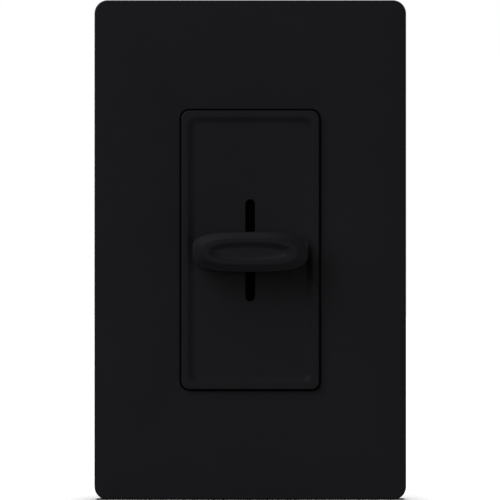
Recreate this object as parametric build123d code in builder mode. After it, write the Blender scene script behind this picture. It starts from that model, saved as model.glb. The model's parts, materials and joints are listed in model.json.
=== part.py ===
from build123d import *

import math
import os

# Dimmer slide switch with a screwless wallplate, for a single wall box.
# Lengths are in millimetres. +X is to the right, +Y runs into the wall and +Z is up.
# The origin lies on the wall plane, midway between the two wall box screws.
# An "out" value is a distance in front of the wall plane; a negative one lies in the wall box.

# ---------------------------------------------------------------- driving dimensions

# wallplate cover
plate_width = 74.4
plate_height = 119.3
plate_corner = 3.2
plate_out = 7.6
plate_skin = 2.0
plate_wall = 1.8
plate_edge_round = 0.45
opening_width = 33.6
opening_height = 67.2
opening_corner = 2.2
opening_collar = 1.0
opening_collar_depth = 1.2
hook_width = 8.0
hook_reach = 1.1
hook_out = 1.5
hook_foot = 0.4
hook_places = (-20.0, 20.0)

# wallplate adapter
adapter_clearance = 0.3
adapter_thick = 1.6
adapter_wall = 1.2
adapter_foot = 0.3
adapter_window_width = 36.0
adapter_window_height = 69.0
adapter_window_corner = 2.5
box_screw_access = 4.2

# mounting yoke
yoke_thick = 1.6
yoke_height = 106.0
yoke_ear_width = 25.4
yoke_fin_width = 44.0
yoke_fin_height = 62.0
yoke_corner = 2.5
fin_score_x = 18.4
ear_score_z = 46.2
score_width = 0.5
score_depth = 0.35
window_width = 5.0
window_height = 27.4
window_corner = 1.0
ground_tab_z = -38.0
ground_tab_height = 6.4
ground_tab_reach = 9.2

# screws; both hole spacings are the standard ones for wall boxes and wallplates
box_screw_spacing = 83.34
plate_screw_spacing = 96.85
thread_radius = 1.75
neck_radius = 1.6
box_screw_reach = 23.0
box_screw_head = 3.5
box_screw_head_high = 2.1
screw_tip_chamfer = 0.5
plate_screw_head = 3.1
plate_screw_head_high = 1.4
driver_slot_width = 0.9
driver_slot_depth = 0.9
ground_screw_reach = 3.0
ground_screw_collar = 4.0
ground_screw_collar_thick = 0.5
ground_screw_head = 3.6
ground_screw_head_high = 1.9
retainer_length = 7.6
retainer_width = 4.8
retainer_thick = 1.0
retainer_clearance = 0.2
screw_clearance = 0.05

# face insert
insert_width = 32.9
insert_height = 66.5
insert_corner = 1.9
insert_out = 8.8
insert_edge_round = 0.2
insert_wall = 1.3
insert_flange_width = 35.4
insert_flange_height = 68.4
insert_flange_thick = 1.0
insert_floor_thick = 1.55
recess_width = 29.6
recess_height = 63.9
recess_corner = 1.8
recess_step_corner = 1.5
recess_floor_corner = 1.2
recess_step = 0.9
recess_step_out = 8.42
recess_slope = 2.5
recess_out = 8.3
rail_x = 8.9
rail_thick = 1.0
rail_length = 40.0
peg_x = 13.6
peg_z = 20.0
peg_radius = 1.1
peg_boss_radius = 1.75
peg_head_radius = 1.8
peg_head_thick = 1.0
peg_clearance = 0.1

# slot and slider travel
slot_width = 2.24
slot_height = 24.3
slot_z = -0.1
slider_z = -0.46

# slider knob
knob_power = 3.2
knob_foot = (9.0, 27.1, 9.35)
knob_belt = (15.8, 27.3, 9.55)
knob_crest = (16.6, 21.4, 5.8)
knob_hollow = (24.4, 6.8)
knob_hollow_depth = 3.6
knob_dish_length = 19.0
knob_dish_height = 4.8
knob_dish_depth = 0.45
knob_crest_round = 0.25
socket_wall = 1.0

# carriage behind the insert
stem_width = 1.9
stem_height = 5.0
stem_out = 13.6
stem_clearance = 0.05
shield_thick = 0.3
shield_gap = 0.15
shield_width = 7.0
shield_height = 43.4
carriage_width = 15.6
carriage_height = 15.0
carriage_thick = 1.3
runner_width = 0.9
runner_foot = 1.9
prong_width = 3.0
prong_near = 1.7
prong_far = 3.1
prong_reach = 2.6
leaf_x = 4.9
leaf_width = 2.2
leaf_thick = 0.2
leaf_half = 6.0
leaf_crest_out = 1.75

# circuit board and housing
board_out = -9.4
board_thick = 1.6
board_width = 38.4
board_height = 60.0
board_notch_x = 9.4
board_notch_z = 24.7
housing_width = 43.0
housing_height = 67.0
housing_corner = 2.5
housing_depth = 26.0
housing_wall = 1.8
housing_edge_round = 1.0
post_x = 12.8
post_z = 28.3
post_radius = 2.3
post_screw_depth = 12.0
housing_screw_radius = 1.4
housing_screw_head = 2.2
housing_screw_head_high = 1.3
housing_screw_round = 0.5
housing_screw_short = 1.0
cross_slot_width = 0.6
cross_slot_depth = 0.7
rib_width = 1.5
rib_height = 3.0
rib_z = 15.0
lead_exit_radius = 2.1
lead_exit_collar = 3.4
lead_exit_collar_high = 1.2
lead_exits = ((-13.0, 20.6), (0.0, 20.6), (13.0, 20.6))
eyelet_outer = 1.6
eyelet_bore = 1.0
eyelet_flange = 2.2
eyelet_flange_thick = 0.25

# slide potentiometer
pot_length = 36.0
pot_width = 9.0
pot_out = -4.6
pot_wall = 0.4
pot_corner = 0.8
pot_slot_width = 2.0
pot_slot_height = 24.6
track_board_thick = 1.0
track_x = 2.0
track_width = 1.5
track_length = 30.0
track_thick = 0.1
wiper_width = 6.4
wiper_height = 7.0
wiper_out = (-7.6, -5.8)
lever_width = 1.2
lever_height = 3.0
lever_out = -0.6
finger_width = 1.0
finger_thick = 0.15
finger_gap = 0.05
finger_inset = 0.5
finger_root = 1.2
pin_radius = 0.35
pin_clearance = 0.12
pot_pins = ((-2.0, 15.5), (2.0, 15.5), (-2.0, -15.5))

# slide-to-off switch
actuator_out = (-2.6, -1.0)
actuator_end_x = 14.2
actuator_rim = 1.0
switch_x = 11.8
switch_width = 7.0
switch_low = -14.0
switch_high = 11.5
switch_out = -6.0
switch_corner = 0.5
bar_spacing = 3.6
bar_width = 1.2
bar_thick = 0.5
bar_low = -7.7
bridge_thick = 0.4
bridge_height = 3.0
bridge_leg_height = 1.6
bridge_gap = 0.1
detent_low = -13.4
detent_high = -7.4
detent_crest_out = -3.25
detent_width = 1.4

# triac, clamped flat against the back of the yoke
triac_z = 24.5
triac_height = 10.2
triac_tab_x = (-10.0, -3.6)
triac_body_x = (-3.6, 5.6)
triac_tab_thick = 1.3
triac_body_thick = 4.5
triac_lead_x = 7.95
triac_lead_pitch = 2.54
triac_lead_width = 0.7
triac_lead_thick = 0.5
triac_lead_drop = 2.6
insulator_thick = 0.15
insulator_margin = 0.3
rivet_x = -7.0
rivet_radius = 1.5
rivet_head_radius = 2.6
rivet_head_thick = 0.8
rivet_clearance = 0.1
tab_hole_clearance = 0.3
triac_edge = 0.5

# parts on the back of the circuit board
choke_x = -8.6
choke_z = -5.5
choke_inner = 4.5
choke_outer = 9.0
choke_high = 7.5
choke_centre_out = -15.7
choke_edge = 0.6
winding_thick = 0.8
winding_edge = 1.2
winding_arc = 312.0
film_cap_x = 5.0
film_cap_z = -21.0
film_cap_size = (18.0, 8.0, 11.6)
film_cap_pitch = 15.0
timing_cap_x = -11.25
timing_cap_z = 9.75
timing_cap_size = (7.5, 3.5, 6.8)
timing_cap_pitch = 5.0
capacitor_stand = 0.2
capacitor_edge = 0.4
diac_x = -11.0
diac_z = 14.0
diac_radius = 1.0
diac_length = 4.0
diac_pitch = 8.0
resistor_places = ((6.4, 2.0), (17.2, 2.0))
resistor_radius = 1.15
resistor_length = 6.4
resistor_pitch = 11.0
resistor_edge = 0.35
lead_bend = 0.6
axial_out = -12.6
solder_radius = 0.95
solder_tip = 0.35
solder_high = 0.7

# ---------------------------------------------------------------- derived dimensions

plate_under = plate_out - plate_skin
plate_inner_width = plate_width - 2 * plate_wall
plate_inner_height = plate_height - 2 * plate_wall
adapter_width = plate_inner_width - 2 * adapter_clearance
adapter_height = plate_inner_height - 2 * adapter_clearance
adapter_corner = plate_corner - plate_wall
adapter_out = yoke_thick + adapter_thick
box_screw_z = box_screw_spacing / 2
plate_screw_z = plate_screw_spacing / 2
insert_floor_back = recess_out - insert_floor_thick
shield_out = insert_floor_back - shield_gap
carriage_out = shield_out - shield_thick - shield_gap
carriage_back = carriage_out - carriage_thick
board_back = board_out - board_thick
housing_back = -housing_depth
track_board_out = board_out + track_board_thick
finger_low_out = track_board_out + track_thick + finger_gap
bar_xs = (switch_x - bar_spacing / 2, switch_x + bar_spacing / 2)
signs = (-1, 1)

back_part_pins = [
    (film_cap_x - film_cap_pitch / 2, film_cap_z),
    (film_cap_x + film_cap_pitch / 2, film_cap_z),
    (timing_cap_x - timing_cap_pitch / 2, timing_cap_z),
    (timing_cap_x + timing_cap_pitch / 2, timing_cap_z),
]
diac_pins = [(diac_x + side * diac_pitch / 2, diac_z) for side in signs]
resistor_pins = [(x, z + side * resistor_pitch / 2) for x, z in resistor_places for side in signs]
choke_pins = [(-17.0, 5.6), (-17.0, -16.6)]
triac_pins = [(triac_lead_x, triac_z + step * triac_lead_pitch) for step in (-1, 0, 1)]
bar_leg_z = switch_high + bar_thick
bar_pins = [(x, switch_high + bar_thick / 2) for x in bar_xs]


def plane_at(out):
    """The plane parallel to the wall that lies `out` in front of it, facing the room."""
    return Plane.XZ.offset(out)


def superellipse(length, height, centre_z, power=knob_power, count=24):
    """Points round an oval with flattened sides, centred at centre_z."""
    points = []
    for step in range(count):
        angle = 2 * math.pi * step / count
        across = math.copysign(abs(math.cos(angle)) ** (2 / power), math.cos(angle))
        along = math.copysign(abs(math.sin(angle)) ** (2 / power), math.sin(angle))
        points.append((across * length / 2, centre_z + along * height / 2))
    return points


os.makedirs("parts", exist_ok=True)

# ---------------------------------------------------------------- wallplate cover

with BuildPart() as wallplate_cover:
    with BuildSketch(Plane.XZ):
        RectangleRounded(plate_width, plate_height, plate_corner)
    extrude(amount=plate_out)
    front_face = wallplate_cover.faces().sort_by(Axis.Y)[0]
    fillet(front_face.edges(), plate_edge_round)
    with BuildSketch(Plane.XZ):
        RectangleRounded(plate_inner_width, plate_inner_height, adapter_corner)
    extrude(amount=plate_under, mode=Mode.SUBTRACT)
    with BuildSketch(plane_at(plate_under - opening_collar_depth)):
        RectangleRounded(
            opening_width + 2 * opening_collar,
            opening_height + 2 * opening_collar,
            opening_corner + opening_collar,
        )
    extrude(amount=opening_collar_depth)
    with BuildSketch(Plane.XZ):
        RectangleRounded(opening_width, opening_height, opening_corner)
    extrude(amount=plate_out, mode=Mode.SUBTRACT)
    # four wedge hooks catch behind the adapter plate when the cover is pressed on
    hook_root = plate_height / 2 - plate_wall
    for side in signs:
        for hook_x in hook_places:
            with BuildSketch(Plane.YZ.offset(hook_x - hook_width / 2)):
                with BuildLine():
                    Polyline(
                        (-hook_foot, side * hook_root),
                        (-hook_out, side * hook_root),
                        (-hook_out, side * (hook_root - hook_reach)),
                        close=True,
                    )
                make_face()
            extrude(amount=hook_width)
wallplate_cover.part.label = "wallplate_cover"
export_step(wallplate_cover.part, "parts/wallplate_cover.step")

# ---------------------------------------------------------------- wallplate adapter

with BuildPart() as wallplate_adapter:
    with BuildSketch(plane_at(yoke_thick)):
        RectangleRounded(adapter_width, adapter_height, adapter_corner)
        RectangleRounded(
            adapter_window_width, adapter_window_height, adapter_window_corner, mode=Mode.SUBTRACT
        )
        with GridLocations(0, plate_screw_spacing, 1, 2):
            Circle(thread_radius + screw_clearance, mode=Mode.SUBTRACT)
        with GridLocations(0, box_screw_spacing, 1, 2):
            Circle(box_screw_access, mode=Mode.SUBTRACT)
    extrude(amount=adapter_thick)
    with BuildSketch(plane_at(adapter_foot)):
        RectangleRounded(adapter_width, adapter_height, adapter_corner)
        Rectangle(
            adapter_width - 2 * adapter_wall, adapter_height - 2 * adapter_wall, mode=Mode.SUBTRACT
        )
        # gaps in the rim for the cover's hooks
        with GridLocations(hook_places[1] - hook_places[0], adapter_height, 2, 2):
            Rectangle(hook_width + 2 * adapter_clearance, 3 * adapter_wall, mode=Mode.SUBTRACT)
    extrude(amount=yoke_thick - adapter_foot)
wallplate_adapter.part.label = "wallplate_adapter"
export_step(wallplate_adapter.part, "parts/wallplate_adapter.step")

with BuildPart() as adapter_screws:
    for side in signs:
        with BuildSketch(plane_at(0)):
            with Locations((0, side * plate_screw_z)):
                Circle(thread_radius)
        extrude(amount=adapter_out)
        with BuildSketch(plane_at(adapter_out)):
            with Locations((0, side * plate_screw_z)):
                Circle(plate_screw_head)
        extrude(amount=plate_screw_head_high)
    plate_screw_top = adapter_out + plate_screw_head_high
    head_edges = adapter_screws.faces().group_by(Axis.Y)[0].edges()
    fillet(head_edges, plate_screw_head_high / 2)
    with BuildSketch(plane_at(plate_screw_top)):
        with GridLocations(0, plate_screw_spacing, 1, 2):
            Rectangle(2 * plate_screw_head, driver_slot_width)
    extrude(amount=-driver_slot_depth, mode=Mode.SUBTRACT)
adapter_screws.part.label = "adapter_screws"
export_step(adapter_screws.part, "parts/adapter_screws.step")

# ---------------------------------------------------------------- mounting yoke

with BuildPart() as mounting_yoke:
    with BuildSketch(Plane.XZ):
        RectangleRounded(yoke_ear_width, yoke_height, yoke_corner)
        RectangleRounded(yoke_fin_width, yoke_fin_height, yoke_corner)
        with Locations((0, slot_z)):
            RectangleRounded(window_width, window_height, window_corner, mode=Mode.SUBTRACT)
        with GridLocations(0, box_screw_spacing, 1, 2):
            SlotOverall(
                retainer_length + retainer_clearance, retainer_width + retainer_clearance, mode=Mode.SUBTRACT
            )
        with GridLocations(0, plate_screw_spacing, 1, 2):
            Circle(thread_radius + screw_clearance, mode=Mode.SUBTRACT)
        with GridLocations(2 * peg_x, 2 * peg_z, 2, 2):
            Circle(peg_radius + peg_clearance, mode=Mode.SUBTRACT)
        with GridLocations(2 * post_x, 2 * post_z, 2, 2):
            Circle(housing_screw_radius + screw_clearance, mode=Mode.SUBTRACT)
        with Locations((rivet_x, triac_z)):
            Circle(rivet_radius + rivet_clearance, mode=Mode.SUBTRACT)
    extrude(amount=yoke_thick)
    # scored lines where the fins and the ears can be broken off
    with BuildSketch(plane_at(yoke_thick)):
        with GridLocations(2 * fin_score_x, 0, 2, 1):
            Rectangle(score_width, yoke_fin_height)
        with GridLocations(0, 2 * ear_score_z, 1, 2):
            Rectangle(yoke_ear_width, score_width)
    extrude(amount=-score_depth, mode=Mode.SUBTRACT)
    # ground tab, folded back from the lower ear
    tab_x = yoke_ear_width / 2 - yoke_thick
    with BuildSketch(Plane.YZ.offset(tab_x)):
        with Locations((ground_tab_reach / 2, ground_tab_z)):
            Rectangle(ground_tab_reach, ground_tab_height)
        with Locations((ground_tab_reach / 2, ground_tab_z)):
            Circle(thread_radius + screw_clearance, mode=Mode.SUBTRACT)
    extrude(amount=yoke_thick)
mounting_yoke.part.label = "mounting_yoke"
export_step(mounting_yoke.part, "parts/mounting_yoke.step")

# ---------------------------------------------------------------- wall box screws

with BuildPart() as box_screws:
    for side in signs:
        with BuildSketch(plane_at(-box_screw_reach)):
            with Locations((0, side * box_screw_z)):
                Circle(thread_radius)
        extrude(amount=box_screw_reach)
        with BuildSketch(Plane.XZ):
            with Locations((0, side * box_screw_z)):
                Circle(neck_radius)
        extrude(amount=yoke_thick)
        with BuildSketch(plane_at(yoke_thick)):
            with Locations((0, side * box_screw_z)):
                Circle(box_screw_head)
        extrude(amount=box_screw_head_high)
    box_screw_top = yoke_thick + box_screw_head_high
    box_head_edges = box_screws.faces().group_by(Axis.Y)[0].edges()
    fillet(box_head_edges, box_screw_head_high / 2)
    tip_edges = box_screws.faces().group_by(Axis.Y)[-1].edges()
    chamfer(tip_edges, screw_tip_chamfer)
    with BuildSketch(plane_at(box_screw_top)):
        with GridLocations(0, box_screw_spacing, 1, 2):
            Rectangle(2 * box_screw_head, driver_slot_width)
            Rectangle(driver_slot_width, box_screw_head)
    extrude(amount=-driver_slot_depth, mode=Mode.SUBTRACT)
box_screws.part.label = "box_screws"
export_step(box_screws.part, "parts/box_screws.step")

with BuildPart() as screw_retainers:
    with BuildSketch(Plane.XZ):
        with GridLocations(0, box_screw_spacing, 1, 2):
            SlotOverall(retainer_length, retainer_width)
            Circle(neck_radius + screw_clearance, mode=Mode.SUBTRACT)
    extrude(amount=retainer_thick)
screw_retainers.part.label = "screw_retainers"
export_step(screw_retainers.part, "parts/screw_retainers.step")

with BuildPart() as ground_screw:
    tab_face_x = yoke_ear_width / 2
    ground_collar_x = tab_face_x + ground_screw_collar_thick
    with BuildSketch(Plane.YZ.offset(tab_x - ground_screw_reach)):
        with Locations((ground_tab_reach / 2, ground_tab_z)):
            Circle(thread_radius)
    extrude(amount=yoke_thick + ground_screw_reach)
    with BuildSketch(Plane.YZ.offset(tab_face_x)):
        with Locations((ground_tab_reach / 2, ground_tab_z)):
            Circle(ground_screw_collar)
    extrude(amount=ground_screw_collar_thick)
    with BuildSketch(Plane.YZ.offset(ground_collar_x)):
        with Locations((ground_tab_reach / 2, ground_tab_z)):
            RegularPolygon(ground_screw_head, 6)
    extrude(amount=ground_screw_head_high)
    with BuildSketch(Plane.YZ.offset(ground_collar_x + ground_screw_head_high)):
        with Locations((ground_tab_reach / 2, ground_tab_z)):
            Rectangle(2 * ground_screw_collar, driver_slot_width)
    extrude(amount=-driver_slot_depth, mode=Mode.SUBTRACT)
ground_screw.part.label = "ground_screw"
export_step(ground_screw.part, "parts/ground_screw.step")

# ---------------------------------------------------------------- face insert

with BuildPart() as face_insert:
    with BuildSketch(plane_at(yoke_thick)):
        RectangleRounded(insert_width, insert_height, insert_corner)
    extrude(amount=insert_out - yoke_thick)
    rim_face = face_insert.faces().sort_by(Axis.Y)[0]
    fillet(rim_face.edges(), insert_edge_round)
    # flange at the foot, wider than the cover's opening, so that the gap round the insert is closed behind
    with BuildSketch(plane_at(yoke_thick)):
        RectangleRounded(insert_flange_width, insert_flange_height, insert_corner)
    extrude(amount=insert_flange_thick)
    # shallow recess: a steep step round the edge, then a gentle slope down to the flat floor
    with BuildSketch(plane_at(insert_out)):
        RectangleRounded(recess_width, recess_height, recess_corner)
    with BuildSketch(plane_at(recess_step_out)):
        step_in = 2 * recess_step
        RectangleRounded(recess_width - step_in, recess_height - step_in, recess_step_corner)
    with BuildSketch(plane_at(recess_out)):
        slope_in = 2 * (recess_step + recess_slope)
        RectangleRounded(recess_width - slope_in, recess_height - slope_in, recess_floor_corner)
    loft(ruled=True, mode=Mode.SUBTRACT)
    with BuildSketch(plane_at(yoke_thick)):
        Rectangle(insert_width - 2 * insert_wall, insert_height - 2 * insert_wall)
    extrude(amount=insert_floor_back - yoke_thick, mode=Mode.SUBTRACT)
    # rails that guide the carriage, and bosses for the pegs
    with BuildSketch(plane_at(runner_foot)):
        with GridLocations(2 * rail_x, 0, 2, 1):
            Rectangle(rail_thick, rail_length)
    extrude(amount=insert_floor_back - runner_foot)
    with BuildSketch(plane_at(yoke_thick)):
        with GridLocations(2 * peg_x, 2 * peg_z, 2, 2):
            Circle(peg_boss_radius)
    extrude(amount=insert_floor_back - yoke_thick)
    # pegs pass through the yoke and are headed over behind it
    with BuildSketch(plane_at(-peg_head_thick)):
        with GridLocations(2 * peg_x, 2 * peg_z, 2, 2):
            Circle(peg_radius)
    extrude(amount=yoke_thick + peg_head_thick)
    with BuildSketch(plane_at(-peg_head_thick)):
        with GridLocations(2 * peg_x, 2 * peg_z, 2, 2):
            Circle(peg_head_radius)
    extrude(amount=peg_head_thick)
    with BuildSketch(plane_at(insert_floor_back)):
        with Locations((0, slot_z)):
            SlotOverall(slot_height, slot_width, rotation=90)
    extrude(amount=insert_floor_thick, mode=Mode.SUBTRACT)
face_insert.part.label = "face_insert"
export_step(face_insert.part, "parts/face_insert.step")

# ---------------------------------------------------------------- slider knob

with BuildPart() as slider_knob:
    for out, length, height in (knob_foot, knob_belt, knob_crest):
        with BuildSketch(plane_at(out)):
            with BuildLine():
                Spline(*superellipse(length, height, slider_z), periodic=True)
            make_face()
    loft(ruled=True)
    crest_face = slider_knob.faces().sort_by(Axis.Y)[0]
    fillet(crest_face.edges(), knob_crest_round)
    # finger dish: part of a ring with a long radius lengthwise and a short one across
    dish_radius_long = (knob_dish_length**2 / 4 + knob_dish_depth**2) / (2 * knob_dish_depth)
    dish_radius_short = (knob_dish_height**2 / 4 + knob_dish_depth**2) / (2 * knob_dish_depth)
    with Locations((0, -(knob_crest[0] - knob_dish_depth + dish_radius_long), slider_z)):
        Torus(dish_radius_long - dish_radius_short, dish_radius_short, mode=Mode.SUBTRACT)
    # hollow underside with a socket for the carriage's stem
    with BuildSketch(plane_at(knob_foot[0])):
        with BuildLine():
            Spline(*superellipse(knob_hollow[0], knob_hollow[1], slider_z), periodic=True)
        make_face()
    extrude(amount=knob_hollow_depth, mode=Mode.SUBTRACT)
    with BuildSketch(plane_at(knob_foot[0])):
        with Locations((0, slider_z)):
            Rectangle(stem_width + 2 * socket_wall, stem_height + 2 * socket_wall)
    extrude(amount=knob_hollow_depth)
    with BuildSketch(plane_at(knob_foot[0])):
        with Locations((0, slider_z)):
            Rectangle(stem_width + 2 * stem_clearance, stem_height + 2 * stem_clearance)
    extrude(amount=stem_out + stem_clearance - knob_foot[0], mode=Mode.SUBTRACT)
slider_knob.part.label = "slider_knob"
export_step(slider_knob.part, "parts/slider_knob.step")

# ---------------------------------------------------------------- carriage, light shield, friction springs

with BuildPart() as slider_carriage:
    with BuildSketch(plane_at(carriage_back)):
        with Locations((0, slider_z)):
            Rectangle(carriage_width, carriage_height)
    extrude(amount=carriage_thick)
    with BuildSketch(plane_at(carriage_out)):
        with Locations((0, slider_z)):
            SlotOverall(stem_height, stem_width, rotation=90)
    extrude(amount=stem_out - carriage_out)
    with BuildSketch(plane_at(runner_foot)):
        with Locations((0, slider_z)):
            with GridLocations(carriage_width - runner_width, 0, 2, 1):
                Rectangle(runner_width, carriage_height)
    extrude(amount=carriage_back - runner_foot)
    # two prongs reach back through the yoke and straddle the potentiometer's lever
    with BuildSketch(plane_at(-prong_reach)):
        for side in signs:
            with Locations((0, slider_z + side * (prong_near + prong_far) / 2)):
                Rectangle(prong_width, prong_far - prong_near)
    extrude(amount=carriage_back + prong_reach)
slider_carriage.part.label = "slider_carriage"
export_step(slider_carriage.part, "parts/slider_carriage.step")

with BuildPart() as slot_shield:
    with BuildSketch(plane_at(shield_out - shield_thick)):
        with Locations((0, slider_z)):
            Rectangle(shield_width, shield_height)
            Rectangle(
                stem_width + 2 * stem_clearance, stem_height + 2 * stem_clearance, mode=Mode.SUBTRACT
            )
    extrude(amount=shield_thick)
slot_shield.part.label = "slot_shield"
export_step(slot_shield.part, "parts/slot_shield.step")

with BuildPart() as friction_springs:
    for side in signs:
        with BuildSketch(Plane.YZ.offset(side * leaf_x - leaf_width / 2)):
            with BuildLine():
                ThreePointArc(
                    (-carriage_back, slider_z - leaf_half),
                    (-leaf_crest_out, slider_z),
                    (-carriage_back, slider_z + leaf_half),
                )
                Line(
                    (-carriage_back, slider_z + leaf_half),
                    (-carriage_back, slider_z + leaf_half - 2 * leaf_thick),
                )
                ThreePointArc(
                    (-carriage_back, slider_z + leaf_half - 2 * leaf_thick),
                    (-leaf_crest_out - leaf_thick, slider_z),
                    (-carriage_back, slider_z - leaf_half + 2 * leaf_thick),
                )
                Line(
                    (-carriage_back, slider_z - leaf_half + 2 * leaf_thick),
                    (-carriage_back, slider_z - leaf_half),
                )
            make_face()
        extrude(amount=leaf_width)
friction_springs.part.label = "friction_springs"
export_step(friction_springs.part, "parts/friction_springs.step")

# ---------------------------------------------------------------- switch actuator and bridge

with BuildPart() as switch_actuator:
    arm_low_x = -prong_width / 2 - actuator_rim
    arm_length = actuator_end_x - arm_low_x
    arm_height = 2 * (prong_far + actuator_rim)
    with BuildSketch(plane_at(actuator_out[0])):
        with Locations((arm_low_x + arm_length / 2, slider_z)):
            Rectangle(arm_length, arm_height)
        with Locations((0, slider_z)):
            Rectangle(
                prong_width + 2 * stem_clearance, 2 * (prong_far + stem_clearance), mode=Mode.SUBTRACT
            )
    extrude(amount=actuator_out[1] - actuator_out[0])
switch_actuator.part.label = "switch_actuator"
export_step(switch_actuator.part, "parts/switch_actuator.step")

with BuildPart() as switch_bridge:
    bridge_out = actuator_out[0] - bridge_thick
    bridge_foot = switch_out + bar_thick + bridge_gap
    with BuildSketch(plane_at(bridge_out)):
        with Locations((switch_x, slider_z)):
            Rectangle(bar_spacing + bar_width, bridge_height)
    extrude(amount=bridge_thick)
    with BuildSketch(plane_at(bridge_foot)):
        for bar_x in bar_xs:
            with Locations((bar_x, slider_z)):
                Rectangle(bar_width, bridge_leg_height)
    extrude(amount=bridge_out - bridge_foot)
switch_bridge.part.label = "switch_bridge"
export_step(switch_bridge.part, "parts/switch_bridge.step")

with BuildPart() as switch_base:
    with BuildSketch(plane_at(board_out)):
        with Locations((switch_x, (switch_low + switch_high) / 2)):
            Rectangle(switch_width, switch_high - switch_low)
    extrude(amount=switch_out - board_out)
    fillet(switch_base.edges().filter_by(Axis.Y), switch_corner)
switch_base.part.label = "switch_base"
export_step(switch_base.part, "parts/switch_base.step")

with BuildPart() as switch_contact_bars:
    for bar_x in bar_xs:
        with BuildSketch(plane_at(switch_out)):
            with Locations((bar_x, (bar_low + bar_leg_z) / 2)):
                Rectangle(bar_width, bar_leg_z - bar_low)
        extrude(amount=bar_thick)
        with BuildSketch(plane_at(board_back)):
            with Locations((bar_x, switch_high + bar_thick / 2)):
                Rectangle(bar_thick, bar_thick)
        extrude(amount=switch_out - board_back)
switch_contact_bars.part.label = "switch_contact_bars"
export_step(switch_contact_bars.part, "parts/switch_contact_bars.step")

with BuildPart() as detent_spring:
    detent_middle = (detent_low + detent_high) / 2
    with BuildSketch(Plane.YZ.offset(switch_x - detent_width / 2)):
        with BuildLine():
            ThreePointArc(
                (-switch_out, detent_low), (-detent_crest_out, detent_middle), (-switch_out, detent_high)
            )
            Line((-switch_out, detent_high), (-switch_out, detent_high - leaf_thick))
            ThreePointArc(
                (-switch_out, detent_high - leaf_thick),
                (-detent_crest_out + leaf_thick, detent_middle),
                (-switch_out, detent_low + leaf_thick),
            )
            Line((-switch_out, detent_low + leaf_thick), (-switch_out, detent_low))
        make_face()
    extrude(amount=detent_width)
detent_spring.part.label = "detent_spring"
export_step(detent_spring.part, "parts/detent_spring.step")

# ---------------------------------------------------------------- slide potentiometer

with BuildPart() as pot_frame:
    with BuildSketch(plane_at(board_out)):
        RectangleRounded(pot_width, pot_length, pot_corner)
    extrude(amount=pot_out - board_out)
    with BuildSketch(plane_at(board_out)):
        Rectangle(pot_width - 2 * pot_wall, pot_length - 2 * pot_wall)
    extrude(amount=pot_out - pot_wall - board_out, mode=Mode.SUBTRACT)
    with BuildSketch(plane_at(pot_out - pot_wall)):
        with Locations((0, slot_z)):
            Rectangle(pot_slot_width, pot_slot_height)
    extrude(amount=pot_wall, mode=Mode.SUBTRACT)
pot_frame.part.label = "pot_frame"
export_step(pot_frame.part, "parts/pot_frame.step")

with BuildPart() as pot_track_board:
    with BuildSketch(plane_at(board_out)):
        Rectangle(pot_width - 2 * pot_wall, pot_length - 2 * pot_wall)
    extrude(amount=track_board_thick)
pot_track_board.part.label = "pot_track_board"
export_step(pot_track_board.part, "parts/pot_track_board.step")

with BuildPart() as pot_tracks:
    with BuildSketch(plane_at(track_board_out)):
        with GridLocations(2 * track_x, 0, 2, 1):
            Rectangle(track_width, track_length)
    extrude(amount=track_thick)
pot_tracks.part.label = "pot_tracks"
export_step(pot_tracks.part, "parts/pot_tracks.step")

with BuildPart() as pot_terminals:
    with BuildSketch(plane_at(board_back)):
        with Locations(*pot_pins):
            Circle(pin_radius)
    extrude(amount=board_thick)
pot_terminals.part.label = "pot_terminals"
export_step(pot_terminals.part, "parts/pot_terminals.step")

with BuildPart() as pot_wiper_block:
    with BuildSketch(plane_at(wiper_out[0])):
        with Locations((0, slider_z)):
            Rectangle(wiper_width, wiper_height)
    extrude(amount=wiper_out[1] - wiper_out[0])
    with BuildSketch(plane_at(wiper_out[1])):
        with Locations((0, slider_z)):
            Rectangle(lever_width, lever_height)
    extrude(amount=lever_out - wiper_out[1])
pot_wiper_block.part.label = "pot_wiper_block"
export_step(pot_wiper_block.part, "parts/pot_wiper_block.step")

with BuildPart() as pot_wiper_fingers:
    finger_top_z = slider_z + wiper_height / 2 - finger_inset
    finger_tip_z = slider_z - wiper_height / 2 + finger_inset
    for side in signs:
        with BuildSketch(Plane.YZ.offset(side * track_x - finger_width / 2)):
            with BuildLine():
                Polyline(
                    (-wiper_out[0], finger_top_z),
                    (-finger_low_out, finger_tip_z),
                    (-finger_low_out - finger_thick, finger_tip_z),
                    (-wiper_out[0], finger_top_z - finger_root),
                    close=True,
                )
            make_face()
        extrude(amount=finger_width)
pot_wiper_fingers.part.label = "pot_wiper_fingers"
export_step(pot_wiper_fingers.part, "parts/pot_wiper_fingers.step")

# ---------------------------------------------------------------- circuit board

with BuildPart() as circuit_board:
    with BuildSketch(plane_at(board_back)):
        Rectangle(board_width, board_height)
        notch_width = board_width / 2 - board_notch_x
        notch_height = board_height / 2 - board_notch_z
        with GridLocations(board_width - notch_width, board_height - notch_height, 2, 2):
            Rectangle(notch_width, notch_height, mode=Mode.SUBTRACT)
        with Locations(*pot_pins, *back_part_pins, *diac_pins, *resistor_pins, *choke_pins):
            Circle(pin_radius + pin_clearance, mode=Mode.SUBTRACT)
        with Locations(*triac_pins, *bar_pins):
            Circle(triac_lead_width, mode=Mode.SUBTRACT)
        with Locations(*lead_exits):
            Circle(eyelet_outer + screw_clearance, mode=Mode.SUBTRACT)
    extrude(amount=board_thick)
circuit_board.part.label = "circuit_board"
export_step(circuit_board.part, "parts/circuit_board.step")

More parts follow.
